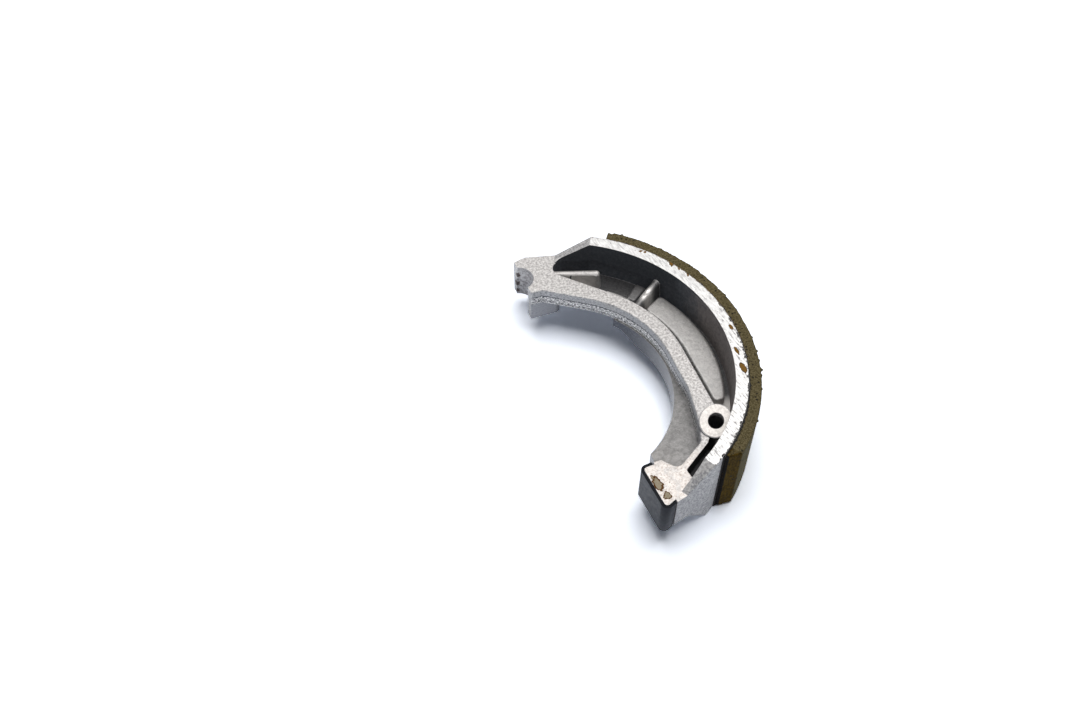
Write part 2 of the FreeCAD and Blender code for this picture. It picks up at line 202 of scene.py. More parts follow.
def use(tree, group, inputs=None):
    """Adds a group to a tree and gives its outputs."""
    made = tree.nodes.new("ShaderNodeGroup")
    made.node_tree = group
    fill_inputs(tree, made, inputs)
    return made.outputs


# Shared effects, each a node group that gives masks, values and normals.


def shoe_place_group():
    """Where a point is, in millimetres and degrees, and how far its normal looks up and towards the axis."""
    tree, _, out = group_of(
        "shoe place", {},
        {"Place": "vector", "Radius": "value", "Turn": "value", "Level": "value", "Upward": "value",
         "Inward": "value"},
    )
    metres = tree.nodes.new("ShaderNodeTexCoord").outputs["Object"]
    spot = place(tree, "ShaderNodeVectorMath", {0: metres, "Scale": 1 / MM}, operation="SCALE").outputs[0]
    x, y, z = axes_of(tree, spot)
    radius = calc(tree, "SQRT", calc(tree, "ADD", product(tree, x, x), product(tree, y, y)))
    normal = tree.nodes.new("ShaderNodeNewGeometry").outputs["Normal"]
    to_axis = vector_calc(tree, "NORMALIZE", vector_calc(tree, "MULTIPLY", spot, (-1.0, -1.0, 0.0)))
    results = {
        "Place": spot,
        "Radius": radius,
        "Turn": calc(tree, "DEGREES", calc(tree, "ARCTAN2", y, x)),
        "Level": z,
        "Upward": axes_of(tree, normal)["Z"],
        "Inward": vector_calc(tree, "DOT_PRODUCT", to_axis, normal),
    }
    put_out(tree, out, results)
    return tree


def lumps_group():
    """The orange-peel lumps and fine grain of a die-cast or moulded skin."""
    tree, got, out = group_of(
        "lumpy skin",
        {"Place": "vector", "Lumps per mm": "value", "Grain per mm": "value"},
        {"Height": "value", "Mottle": "value", "Grain": "value", "Cells": "value"},
    )
    warp = place(tree, "ShaderNodeTexNoise", {"Vector": got["Place"], "Scale": 0.9, "Detail": 2.0})
    bend = place(
        tree, "ShaderNodeVectorMath", {0: warp.outputs["Color"], 1: (0.9, 0.9, 0.9), 2: got["Place"]},
        operation="MULTIPLY_ADD",
    ).outputs[0]
    cells = place(
        tree, "ShaderNodeTexVoronoi", {"Vector": bend, "Scale": got["Lumps per mm"], "Randomness": 1.0},
        feature="SMOOTH_F1",
    ).outputs["Distance"]
    grain = noise_at(tree, got["Place"], got["Grain per mm"], 3.0, 0.6)
    mottle = noise_at(tree, got["Place"], calc(tree, "MULTIPLY", got["Lumps per mm"], 1.6), 5.0, 0.68)
    height = calc(tree, "MULTIPLY_ADD", cells, -0.6, calc(tree, "MULTIPLY", grain, 0.6))
    put_out(tree, out, {"Height": height, "Mottle": mottle, "Grain": grain, "Cells": cells})
    return tree


def specks_group():
    """Scattered specks: a share of the cells of an even pattern hold one round speck each."""
    tree, got, out = group_of(
        "specks", {"Place": "vector", "Per mm": "value", "Share": "value", "Size": "value"}, {"Mask": "value"}
    )
    cells = place(tree, "ShaderNodeTexVoronoi", {"Vector": got["Place"], "Scale": got["Per mm"]})
    pick = place(tree, "ShaderNodeSeparateColor", {0: cells.outputs["Color"]}).outputs
    chosen = calc(tree, "LESS_THAN", pick["Red"], got["Share"])
    reach = calc(tree, "MULTIPLY", got["Size"], calc(tree, "ADD", pick["Green"], 0.35))
    near = calc(tree, "DIVIDE", calc(tree, "SUBTRACT", reach, cells.outputs["Distance"]), 0.08, clamp=True)
    put_out(tree, out, {"Mask": calc(tree, "MULTIPLY", near, chosen)})
    return tree


def streaks_group():
    """Short parallel scratches, long in Y of the vector and narrow in X."""
    tree, got, out = group_of(
        "streaks", {"Vector": "vector", "Across per mm": "value", "Along per mm": "value", "Share": "value"},
        {"Mask": "value", "Tone": "value"},
    )
    x, y, z = axes_of(tree, got["Vector"])
    across = calc(tree, "MULTIPLY", x, got["Across per mm"])
    along = calc(tree, "MULTIPLY", y, got["Along per mm"])
    stretched = place(tree, "ShaderNodeCombineXYZ", {0: across, 1: along, 2: z}).outputs[0]
    tone = noise_at(tree, stretched, 1.0, 3.0, 0.6)
    limit = calc(tree, "SUBTRACT", 1.0, got["Share"])
    mask = calc(tree, "DIVIDE", calc(tree, "SUBTRACT", tone, limit), 0.05, clamp=True)
    put_out(tree, out, {"Mask": mask, "Tone": tone})
    return tree


def corners_group():
    """Where an edge is near: 1 on the rounding itself, and the normal of the rounded edge."""
    tree, got, out = group_of("soft corners", {"Width": "value"}, {"Corner": "value", "Normal": "vector"})
    rounded = place(tree, "ShaderNodeBevel", {"Radius": got["Width"]}, samples=6).outputs[0]
    plain = tree.nodes.new("ShaderNodeNewGeometry").outputs["Normal"]
    same = vector_calc(tree, "DOT_PRODUCT", rounded, plain)
    put_out(tree, out, {"Corner": fade(tree, same, 0.995, 0.86), "Normal": rounded})
    return tree


def blot_group():
    """A ragged spot round a centre: its inside and its dark rim."""
    tree, got, out = group_of(
        "blot",
        {"Place": "vector", "Centre": "vector", "Stretch": "vector", "Reach": "value", "Ragged": "value",
         "Rim from": "value"},
        {"Inside": "value", "Rim": "value"},
    )
    away = vector_calc(tree, "SUBTRACT", got["Place"], got["Centre"])
    distance = vector_calc(tree, "LENGTH", vector_calc(tree, "MULTIPLY", away, got["Stretch"]))
    edge = wandering(tree, distance, noise_at(tree, got["Place"], 1.3, 3.0, 0.6), got["Ragged"])
    share = calc(tree, "DIVIDE", edge, got["Reach"])
    rim = within(tree, share, got["Rim from"], 1.02, 0.06)
    put_out(tree, out, {"Inside": fade(tree, share, 1.06, 0.94), "Rim": rim})
    return tree


SHOE_PLACE = shoe_place_group()
LUMPS = lumps_group()
SPECKS = specks_group()
STREAKS = streaks_group()
CORNERS = corners_group()
BLOT = blot_group()


# Finishes, one material for each kind of piece.


def new_finish(name, **constants):
    """An empty material with one Principled shader whose constants are set on its own sockets."""
    material = bpy.data.materials.new(name)
    material.use_nodes = True
    tree = material.node_tree
    tree.nodes.clear()
    shader = tree.nodes.new("ShaderNodeBsdfPrincipled")
    for label, value in constants.items():
        shader.inputs[label].default_value = value
    out = tree.nodes.new("ShaderNodeOutputMaterial")
    tree.links.new(shader.outputs[0], out.inputs["Surface"])
    return material, tree, shader


def connect(tree, shader, **sockets):
    for name, value in sockets.items():
        tree.links.new(value, shader.inputs[name.replace("_", " ")])


def bumped(tree, height, strength, distance, normal):
    inputs = {"Height": height, "Strength": strength, "Distance": distance, "Normal": normal}
    return place(tree, "ShaderNodeBump", inputs).outputs[0]


ADHESIVE_SPOTS = [
    # x, y, stretch x, stretch y, reach
    (50.1, -2.9, 1.4, 0.8, 0.75),
    (47.75, -11.3, 1.9, 0.62, 0.95),
    (46.8, -17.4, 1.35, 0.62, 1.2),
    (50.75, 9.9, 1.6, 0.8, 0.4),
    (46.9, 19.8, 1.2, 0.7, 0.45),
    (45.4, 23.0, 1.2, 0.7, 0.4),
    (44.0, 25.65, 1.0, 0.6, 0.6),
    (38.5, 32.8, 1.0, 1.2, 0.45),
    (37.6, 33.6, 0.8, 1.2, 0.45),
]
RING_STAINS = [
    # x, y, stretch x, stretch y, reach
    (11.35, -40.5, 0.95, 0.52, 1.25),
    (12.30, -44.7, 0.9, 0.8, 1.0),
    (10.75, -38.2, 1.6, 0.8, 0.65),
]
RUST_SPOTS = [
    # x, y, level, reach
    (2.35, 46.3, 14.6, 0.75),
    (2.15, 46.6, 10.6, 0.95),
    (2.25, 46.2, 7.6, 0.6),
]
GRINDING_TURN = -9.0


def shape_masks(tree, on):
    """Masks from 0 to 1 for the casting's regions."""
    level, radius, turn = on["Level"], on["Radius"], on["Turn"]
    x, y, _ = axes_of(tree, on["Place"])
    up = fade(tree, on["Upward"], 0.7, 0.95)
    upright = fade(tree, on["Upward"], 0.6, 0.3)

    table_wall = product(
        tree, fade(tree, on["Inward"], 0.4, 0.6), within(tree, radius, TABLE_IN_R - 0.3, TABLE_IN_R + 0.5, 0.1)
    )
    outwards = calc(tree, "MULTIPLY_ADD", x, END_WALL_WAY[0], calc(tree, "MULTIPLY", y, END_WALL_WAY[1]))
    end_wall = product(
        tree, within(tree, outwards, END_WALL_AWAY - 0.2, END_WALL_AWAY + 0.2, 0.05), fade(tree, turn, 58.5, 59.5)
    )
    from_end = flat_distance(tree, on["Place"], RECESS_END)
    round_end = within(tree, from_end, RECESS_END_R - 0.1, RECESS_END_R + 0.3, 0.05)
    above_web = fade(tree, level, WEB_TOP + 0.02, WEB_TOP + 0.12)
    recess_wall = product(tree, largest(tree, table_wall, end_wall, round_end), upright, above_web)

    web_face = product(tree, within(tree, level, WEB_TOP - 0.1, WEB_TOP + 0.1, 0.05), up)
    reach = largest(tree, x, product(tree, radius, fade(tree, turn, -0.5, 0.5)))
    in_recess = product(tree, fade(tree, reach, RIM_OUT_R - 0.1, RIM_OUT_R + 0.1), fade(tree, turn, -35.5, -34.5))
    slot = product(
        tree, within(tree, radius, *SLOT_RADII, 0.1), within(tree, turn, *SLOT_TURNS, 0.3),
        fade(tree, level, BODY_TOP + 2.0, BODY_TOP - 0.1), largest(tree, upright, web_face),
    )
    rim_wall = product(tree, fade(tree, on["Inward"], 0.3, 0.5), fade(tree, radius, 41.0, 39.0), upright)
    from_middle = calc(tree, "ABSOLUTE", calc(tree, "SUBTRACT", level, SHOE_WIDTH / 2))
    flat_top = product(tree, within(tree, level, BODY_TOP - 0.1, BODY_TOP + 0.1, 0.02), up)
    details = product(
        tree, within(tree, level, WEB_TOP + 0.15, 19.3, 0.1), fade(tree, turn, -33.0, -31.0),
        within(tree, radius, 36.9, TABLE_IN_R - 0.3, 0.1), outside_of(tree, largest(tree, recess_wall, flat_top)),
    )
    return {
        "up": up,
        "upright": upright,
        "details": details,
        "recess_wall": recess_wall,
        "recess_floor": product(tree, web_face, in_recess),
        "leaf": product(tree, web_face, outside_of(tree, in_recess)),
        "slot": slot,
        "rim_wall": rim_wall,
        "ground": calc(tree, "GREATER_THAN", from_middle, SHOE_WIDTH / 2 - 0.04),
    }


def raised_tone(tree, on, speckle):
    """The details raised in the recess: a grey pad, a painted highlight on the rib with painted shade at its ends,
    painted shade on the stop and a painted highlight on the ridge.
    """
    turn = on["Turn"]
    tone = mottled(tree, speckle, *SPREAD, (0.36, 0.355, 0.35), (0.45, 0.44, 0.43))
    # Painted shade: the stop block is nearly black.
    stop_shade = product(tree, within(tree, turn, *STOP_TURNS, 0.3), fade(tree, on["Level"], 17.0, 16.4))
    tone = tint(tree, stop_shade, tone, (0.075, 0.075, 0.078))
    # Painted highlight on the rib's side, and painted shade at its two ends.
    rib_highlight = product(tree, within(tree, turn, *RIB_TURNS, 0.2), within(tree, on["Radius"], 39.6, 44.2, 1.4))
    tone = tint(tree, rib_highlight, tone, (0.97, 0.94, 0.91))
    round_rib = within(tree, turn, RIB_TURNS[0] - 0.5, RIB_TURNS[1] + 0.3, 0.2)
    tone = laid_over(tree, tone, calc(tree, "SUBTRACT", round_rib, rib_highlight, clamp=True), 0.75, (0.10, 0.10, 0.105))
    # Painted highlight: the ridge, beyond 46 degrees, is pale.
    return tint(tree, fade(tree, turn, 46.0, 50.0, 0.0, 0.6), tone, (0.85, 0.82, 0.80))


def cast_skin(tree, on, skin, part):
    """The plain cast surface, with painted shade on its walls and painted light on its upward faces, and smoothest
    on the raised details of the recess.
    """
    speckle = noise_at(tree, on["Place"], 1.5, 4.0, 0.68)
    # Painted light and shade: the walls get a darker copy of the cast colour and the upward faces a lighter one.
    shaded_walls = mottled(tree, speckle, 0.36, 0.64, (0.22, 0.22, 0.235), (0.52, 0.515, 0.515))
    lit_tops = mottled(tree, speckle, 0.36, 0.62, (0.36, 0.345, 0.34), (0.70, 0.685, 0.675))
    shade = tint(tree, part["up"], shaded_walls, lit_tops)
    shade = laid_over(tree, shade, part["details"], 0.9, raised_tone(tree, on, speckle))
    rings = within(tree, skin["Cells"], 0.34, 0.44, 0.06)
    shade = laid_over(tree, shade, rings, 0.16, (0.16, 0.155, 0.155))
    dots = fade(tree, skin["Grain"], 0.60, 0.72)
    return laid_over(tree, shade, dots, 0.45, (0.17, 0.16, 0.155))


def boss_tone(tree, on, from_boss, shade):
    """The spring boss has painted light on its top and a painted shadow line round its foot."""
    # Painted light: the boss's top is pale.
    top = product(
        tree, fade(tree, from_boss, BOSS_R, BOSS_R - 0.3), fade(tree, on["Upward"], 0.8, 0.9),
        fade(tree, on["Level"], 16.5, 17.5),
    )
    shade = laid_over(tree, shade, top, 0.5, (0.90, 0.86, 0.81))
    # Painted shadow: a dark line round the foot of the boss.
    line = product(
        tree, within(tree, from_boss, BOSS_R - 0.2, BOSS_R + 0.25, 0.06), fade(tree, on["Level"], 17.0, 17.6),
        fade(tree, on["Radius"], 47.6, 47.2),
    )
    return laid_over(tree, shade, line, 0.7, (0.10, 0.10, 0.115))


def cam_end_tone(tree, on, shade, part):
    """The top of the cam block has pale patches of painted light, with brown-grey flecks."""
    block = product(tree, fade(tree, on["Turn"], -48.0, -60.0), part["up"])
    # Painted light: pale patches over the top of the cam block.
    pale = fade(tree, noise_at(tree, on["Place"], 0.75, 4.0, 0.7), 0.44, 0.60, 0.6, 0.15)
    shade = laid_over(tree, shade, block, pale, (0.88, 0.82, 0.77))
    flecks = fade(tree, noise_at(tree, on["Place"], 1.9, 3.0, 0.7), 0.50, 0.62, 0.0, 0.65)
    return laid_over(tree, shade, block, flecks, (0.40, 0.33, 0.29))


def notch_tone(tree, on, skin, shade, part):
    """The round wall that sits on the anchor pin is darker than the other walls."""
    from_pin = flat_distance(tree, on["Place"], PIN_PLACE)
    wall = product(tree, fade(tree, from_pin, NOTCH_R + 0.55, NOTCH_R + 0.25), part["upright"])
    tone = mottled(tree, skin["Mottle"], 0.4, 0.6, (0.17, 0.16, 0.165), (0.42, 0.415, 0.42))
    return laid_over(tree, shade, wall, 0.85, tone)


def rim_wall_tone(tree, on, shade, part):
    """The rim's inner wall: a grey band, two dark lines, and a rougher speckled band below the first; below the
    web, painted shade darkens it towards the anchor end.
    """
    turn = on["Turn"]
    arc = calc(tree, "MULTIPLY", turn, 0.6)
    run = place(tree, "ShaderNodeCombineXYZ", {0: arc, 1: on["Level"], 2: 0.0}).outputs[0]
    level = wandering(tree, on["Level"], noise_at(tree, run, 0.7, 3.0, 0.6), 0.9)
    crumbs = noise_at(tree, vector_calc(tree, "MULTIPLY", run, (0.6, 1.5, 1.0)), 2.4, 3.0, 0.7)
    band = mottled(tree, crumbs, 0.36, 0.62, (0.18, 0.182, 0.192), (0.50, 0.50, 0.508))
    rough = mottled(tree, crumbs, 0.44, 0.57, (0.07, 0.07, 0.078), (0.88, 0.87, 0.86))
    tone = mottled(tree, level, 15.5, 15.2, band, rough)
    lines = calc(tree, "ADD", within(tree, level, *UPPER_LINE, 0.06), within(tree, level, *LOWER_LINE, 0.06))
    tone = laid_over(tree, tone, lines, fade(tree, crumbs, 0.66, 0.56), (0.03, 0.032, 0.04))
    # Painted shade: below the web the wall darkens towards the anchor end.
    low = mottled(tree, turn, 40.0, -20.0, (0.05, 0.058, 0.078), (0.36, 0.36, 0.37))
    low = laid_over(tree, low, fade(tree, crumbs, 0.5, 0.6), 0.25, (0.4, 0.4, 0.41))
    foot = mottled(tree, crumbs, *SPREAD, (0.25, 0.255, 0.28), (0.40, 0.405, 0.43))
    low = mottled(tree, turn, 41.2, 41.6, low, foot)
    tone = mottled(tree, on["Level"], WEB_TOP + 0.1, WEB_TOP - 0.2, tone, low)
    return tint(tree, part["rim_wall"], shade, tone)


def recess_tone(tree, on, skin, shade, part):
    """The recess in painted light and shade: a dark wall turning brown-grey, a dark floor with lighter patches, a
    mid-grey leaf and a near-black slot.
    """
    turn, mottle = on["Turn"], skin["Mottle"]
    # Painted light and shade: the wall is dark towards the anchor end and lighter brown-grey towards the middle of
    # the shoe.
    dark = mottled(tree, mottle, *SPREAD, (0.075, 0.086, 0.108), (0.130, 0.142, 0.162))
    brown = mottled(tree, mottle, *SPREAD, (0.175, 0.155, 0.155), (0.265, 0.238, 0.230))
    reach = wandering(tree, turn, noise_at(tree, on["Place"], 0.22, 3.0, 0.6), 22.0)
    wall = mottled(tree, reach, 24.0, 4.0, dark, brown)
    # Painted shade: higher up the wall, and towards the anchor end, it is darker still.
    upper_wall_shade = product(tree, fade(tree, on["Level"], 14.5, 20.0, 0.2, 0.97), fade(tree, reach, 10.0, 30.0))
    wall = tint(tree, upper_wall_shade, wall, (0.006, 0.009, 0.014))
    shade = laid_over(tree, shade, part["recess_wall"], 0.96, wall)

    # Painted shade: the recess floor is nearly black, with painted light beside the pad, before the ridge and near
    # the boss.
    floor_light_and_shade = mottled(tree, mottle, *SPREAD, (0.022, 0.024, 0.029), (0.055, 0.056, 0.060))
    beside_pad = product(tree, fade(tree, turn, 28.0, 24.0), fade(tree, on["Radius"], 41.0, 39.5))
    floor_light_and_shade = tint(tree, beside_pad, floor_light_and_shade, (0.26, 0.255, 0.25))
    from_ridge = vector_calc(tree, "SUBTRACT", on["Place"], (*RIDGE_START, 0.0))
    along, across = (vector_calc(tree, "DOT_PRODUCT", from_ridge, way) for way in (RIDGE_ALONG, RIDGE_ACROSS))
    before_ridge = product(tree, fade(tree, across, 0.2, 0.6), fade(tree, along, 13.8, 11.8))
    floor_light_and_shade = laid_over(tree, floor_light_and_shade, before_ridge, 0.95, (0.50, 0.49, 0.48))
    floor_light_and_shade = tint(tree, fade(tree, turn, -20.0, -25.0), floor_light_and_shade, (0.70, 0.68, 0.66))
    shade = laid_over(tree, shade, part["recess_floor"], 0.9, floor_light_and_shade)
    # Painted shade: the leaf is a darkened mid-grey.
    leaf_shade = mottled(tree, mottle, *SPREAD, (0.150, 0.149, 0.149), (0.250, 0.247, 0.245))
    shade = laid_over(tree, shade, part["leaf"], 0.9, leaf_shade)
    # Painted shade: the slot is near-black.
    return tint(tree, part["slot"], shade, (0.008, 0.008, 0.010))


def ground_tone(tree, on, shade, part):
    """The table's two ground edges, with short parallel marks and small pits. Also gives where the marks are."""
    turned = place(
        tree, "ShaderNodeVectorRotate", {"Vector": on["Place"], "Angle": math.radians(GRINDING_TURN)},
        rotation_type="Z_AXIS",
    ).outputs[0]
    marks = use(tree, STREAKS, {"Vector": turned, "Across per mm": 1.9, "Along per mm": 0.35, "Share": 0.42})
    fine = use(tree, STREAKS, {"Vector": turned, "Across per mm": 3.8, "Along per mm": 0.8, "Share": 0.40})
    tone = mottled(tree, marks["Tone"], 0.3, 0.62, (0.90, 0.90, 0.89), (0.66, 0.655, 0.65))
    cam_side = fade(tree, on["Turn"], 20.0, -10.0, 0.25, 0.85)
    tone = laid_over(tree, tone, marks["Mask"], cam_side, (0.22, 0.215, 0.225))
    tone = laid_over(tree, tone, fine["Mask"], 0.35, (0.30, 0.29, 0.29))
    bites = fade(tree, noise_at(tree, on["Place"], 0.9, 3.0, 0.7), 0.42, 0.68)
    depth = product(tree, bites, fade(tree, on["Turn"], 14.0, -6.0, 0.35, 0.75))
    by_joint = calc(tree, "GREATER_THAN", calc(tree, "ADD", on["Radius"], depth), TABLE_OUT_R - 0.04)
    joint_tone = mottled(tree, on["Turn"], 10.0, -2.0, (0.10, 0.062, 0.018), (0.012, 0.010, 0.010))
    tone = tint(tree, by_joint, tone, joint_tone)
    dots = use(tree, SPECKS, {"Place": on["Place"], "Per mm": 1.5, "Share": 0.16, "Size": 0.24})["Mask"]
    tone = laid_over(tree, tone, dots, 0.75, (0.14, 0.12, 0.12))
    return tint(tree, part["ground"], shade, tone), marks["Mask"]


def blot_at(tree, on, centre, stretch, reach, ragged, rim_from):
    inputs = {"Centre": centre, "Stretch": stretch, "Reach": reach, "Ragged": ragged, "Rim from": rim_from}
    return use(tree, BLOT, {"Place": on["Place"], **inputs})


def blots(tree, on, shade, part):
    """Adhesive on the ground edge, brown rings beside the cap and rust in the notch. Also gives where they are."""
    found = 0.0
    for x, y, wide, long, reach in ADHESIVE_SPOTS:
        blot = blot_at(tree, on, (x, y, SHOE_WIDTH), (wide, long, 1.0), reach, 1.1, 0.82)
        inside = product(tree, blot["Inside"], part["ground"])
        amber = tint(tree, blot["Rim"], (0.24, 0.115, 0.008), (0.030, 0.012, 0.003))
        shade, found = tint(tree, inside, shade, amber), largest(tree, found, inside)
    for x, y, wide, long, reach in RING_STAINS:
        blot = blot_at(tree, on, (x, y, BODY_TOP), (wide, long, 1.0), reach, 1.7, 0.66)
        inside = product(tree, blot["Inside"], part["up"])
        brown = tint(tree, blot["Rim"], (0.44, 0.36, 0.20), (0.115, 0.042, 0.001))
        strength = calc(tree, "MULTIPLY_ADD", blot["Rim"], 0.28, 0.72)
        shade, found = laid_over(tree, shade, inside, strength, brown), largest(tree, found, inside)
    for x, y, level, reach in RUST_SPOTS:
        blot = blot_at(tree, on, (x, y, level), (1.0, 1.0, 0.8), reach, 1.6, 0.82)
        inside = product(tree, blot["Inside"], 0.8)
        rust = tint(tree, blot["Rim"], (0.035, 0.010, 0.008), (0.11, 0.05, 0.035))
        shade, found = tint(tree, inside, shade, rust), largest(tree, found, inside)
    return shade, found


def cast_aluminium():
    material, tree, shader = new_finish("cast aluminium")
    on = use(tree, SHOE_PLACE)
    part = shape_masks(tree, on)
    skin = use(tree, LUMPS, {"Place": on["Place"], "Lumps per mm": 0.62, "Grain per mm": 2.6})
    pits = use(tree, SPECKS, {"Place": on["Place"], "Per mm": 0.9, "Share": 0.14, "Size": 0.15})["Mask"]
    corner = use(tree, CORNERS, {"Width": calc(tree, "MULTIPLY_ADD", part["details"], 0.5 * MM, 0.25 * MM)})
    from_boss = flat_distance(tree, on["Place"], BOSS_PLACE)

    shade = cast_skin(tree, on, skin, part)
    shade = boss_tone(tree, on, from_boss, shade)
    shade = cam_end_tone(tree, on, shade, part)
    shade = rim_wall_tone(tree, on, shade, part)
    shade = notch_tone(tree, on, skin, shade, part)
    shade = recess_tone(tree, on, skin, shade, part)
    shade, marks = ground_tone(tree, on, shade, part)
    shade = laid_over(tree, shade, pits, 0.7, (0.07, 0.065, 0.07))
    # Painted highlight: a pale line along the rounded top edges.
    painted_edge_highlight = product(
        tree, corner["Corner"], outside_of(tree, part["slot"]), fade(tree, on["Level"], 12.9, 13.6),
        largest(tree, part["up"], fade(tree, on["Turn"], -54.0, -51.0)),
    )
    shade = laid_over(tree, shade, painted_edge_highlight, 0.8, (0.96, 0.95, 0.94))
    shade, blotted = blots(tree, on, shade, part)
    # Painted shade: the inside of the spring hole is near-black.
    in_hole = product(
        tree, fade(tree, from_boss, SPRING_HOLE_R + 0.12, SPRING_HOLE_R + 0.04), fade(tree, on["Level"], 20.4, 18.6)
    )
    shade = laid_over(tree, shade, in_hole, 0.96, (0.01, 0.01, 0.012))

    rough = fade(tree, skin["Mottle"], *SPREAD, 0.56, 0.44)
    for mask, change in (
        (part["ground"], -0.12), (blotted, 0.4), (part["details"], -0.10), (part["recess_wall"], 0.4)
    ):
        rough = calc(tree, "MULTIPLY_ADD", mask, change, rough)
    metal = calc(tree, "MULTIPLY_ADD", largest(tree, in_hole, part["slot"], blotted), -0.5, 0.5)
    metal = calc(tree, "MULTIPLY_ADD", part["recess_wall"], -0.65, metal, clamp=True)
    bump = bumped(tree, skin["Height"], fade(tree, on["Upward"], 0.8, 0.95, 0.8, 0.55), 0.22 * MM, corner["Normal"])
    scratches = product(tree, marks, part["ground"])
    dents = calc(tree, "SUBTRACT", product(tree, pits, -1.0), scratches)
    bump = bumped(tree, dents, 0.5, 0.1 * MM, bump)
    connect(tree, shader, Base_Color=shade, Roughness=rough, Metallic=metal, Normal=bump)
    return material


def friction_composite():
    material, tree, shader = new_finish("friction composite", **{"Specular IOR Level": 0.15})
    on = use(tree, SHOE_PLACE)
    skin = use(tree, LUMPS, {"Place": on["Place"], "Lumps per mm": 1.4, "Grain per mm": 4.5})
    dark = use(tree, SPECKS, {"Place": on["Place"], "Per mm": 0.95, "Share": 0.62, "Size": 0.30})["Mask"]
    pale = use(tree, SPECKS, {"Place": on["Place"], "Per mm": 1.9, "Share": 0.18, "Size": 0.2})["Mask"]
    corner = use(tree, CORNERS, {"Width": 0.2 * MM})

    body = mottled(tree, skin["Mottle"], *SPREAD, (0.068, 0.056, 0.022), (0.245, 0.202, 0.106))
    run = place(
        tree, "ShaderNodeCombineXYZ", {0: on["Level"], 1: calc(tree, "MULTIPLY", on["Turn"], 0.96), 2: 0.0}
    ).outputs[0]
    marks = use(tree, STREAKS, {"Vector": run, "Across per mm": 2.4, "Along per mm": 0.16, "Share": 0.42})
    face_tone = mottled(tree, marks["Tone"], *SPREAD, (0.092, 0.079, 0.036), (0.128, 0.110, 0.055))
    body = tint(tree, fade(tree, on["Radius"], DRUM_R - 0.25, DRUM_R - 0.15), body, face_tone)
    cam_bevel = product(
        tree, fade(tree, on["Turn"], CAM_BEVEL_ANGLE - LINING_HALF_ANGLE, -51.8),
        fade(tree, on["Level"], LINING_TOP + 0.05, LINING_TOP - 0.1),
    )
    grain = use(tree, STREAKS, {"Vector": on["Place"], "Across per mm": 2.2, "Along per mm": 2.2, "Share": 0.45})
    bevel_tone = mottled(tree, grain["Tone"], 0.35, 0.65, (0.034, 0.020, 0.001), (0.105, 0.064, 0.006))
    body = tint(tree, cam_bevel, body, bevel_tone)
    body = laid_over(tree, body, pale, 0.35, (0.30, 0.26, 0.18))
    body = laid_over(tree, body, dark, 0.85, (0.022, 0.020, 0.016))
    body = laid_over(tree, body, corner["Corner"], 0.35, (0.19, 0.165, 0.11))
    # The lining's end face at the cam end is near-black.
    dark_end_face = mottled(tree, skin["Mottle"], 0.55, 0.7, (0.003, 0.003, 0.003), (0.05, 0.024, 0.005))
    body = tint(tree, fade(tree, on["Turn"], 0.25 - LINING_HALF_ANGLE, 0.05 - LINING_HALF_ANGLE), body, dark_end_face)

    rough = fade(tree, skin["Mottle"], *SPREAD, 0.92, 0.78)
    height = calc(tree, "MULTIPLY_ADD", dark, -0.8, skin["Height"])
    bump = bumped(tree, height, 0.7, 0.18 * MM, corner["Normal"])
    connect(tree, shader, Base_Color=body, Roughness=rough, Normal=bump)
    return material


def cured_adhesive():
    material, tree, shader = new_finish("cured adhesive", **{"Specular IOR Level": 0.25})
    on = use(tree, SHOE_PLACE)
    skin = use(tree, LUMPS, {"Place": on["Place"], "Lumps per mm": 1.2, "Grain per mm": 3.0})
    amber = fade(tree, noise_at(tree, on["Place"], 0.55, 3.0, 0.6), 0.50, 0.64)
    anchor_side = fade(tree, on["Turn"], -28.0, 12.0)
    body = laid_over(tree, (0.006, 0.005, 0.004), amber, anchor_side, (0.20, 0.10, 0.020))
    plain = tree.nodes.new("ShaderNodeNewGeometry").outputs["Normal"]
    rough = fade(tree, skin["Mottle"], *SPREAD, 0.6, 0.35)
    bump = bumped(tree, skin["Height"], 0.6, 0.2 * MM, plain)
    connect(tree, shader, Base_Color=body, Roughness=rough, Normal=bump)
    return material


def blackened_steel():
    material, tree, shader = new_finish("blackened steel", **{"Specular IOR Level": 0.17})
    on = use(tree, SHOE_PLACE)
    skin = use(tree, LUMPS, {"Place": on["Place"], "Lumps per mm": 0.5, "Grain per mm": 5.0})
    corner = use(tree, CORNERS, {"Width": 0.25 * MM})
    rolled = use(tree, STREAKS, {"Vector": on["Place"], "Across per mm": 0.5, "Along per mm": 1.6, "Share": 0.4})
    on_top = fade(tree, on["Upward"], 0.5, 0.8)

    body = mottled(tree, skin["Mottle"], *SPREAD, (0.022, 0.025, 0.033), (0.044, 0.048, 0.058))
    body = laid_over(tree, body, fade(tree, rolled["Tone"], 0.55, 0.7), 0.3, (0.085, 0.095, 0.11))
    # Painted shade: the bent narrow end of the cap is darker.
    bend_shade = fade(tree, axes_of(tree, on["Place"])["Y"], -45.6, -46.8)
    body = laid_over(tree, body, bend_shade, 0.8, (0.012, 0.015, 0.022))
    # Painted shade: the upward faces and the edges of the cap are darker.
    body = laid_over(tree, body, on_top, 0.85, (0.006, 0.007, 0.010))
    body = laid_over(tree, body, corner["Corner"], 0.6, (0.010, 0.013, 0.020))
    rough = calc(tree, "MULTIPLY_ADD", on_top, 0.3, fade(tree, skin["Mottle"], *SPREAD, 0.52, 0.40))
    bump = bumped(tree, skin["Grain"], 0.2, 0.05 * MM, corner["Normal"])
    connect(tree, shader, Base_Color=body, Roughness=rough, Normal=bump)
    return material


# Pieces.


def finish_node(name, material):
    """Gives a solid of the frame its material."""
    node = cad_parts[name]
    node.data.materials.clear()
    node.data.materials.append(material)
    return node


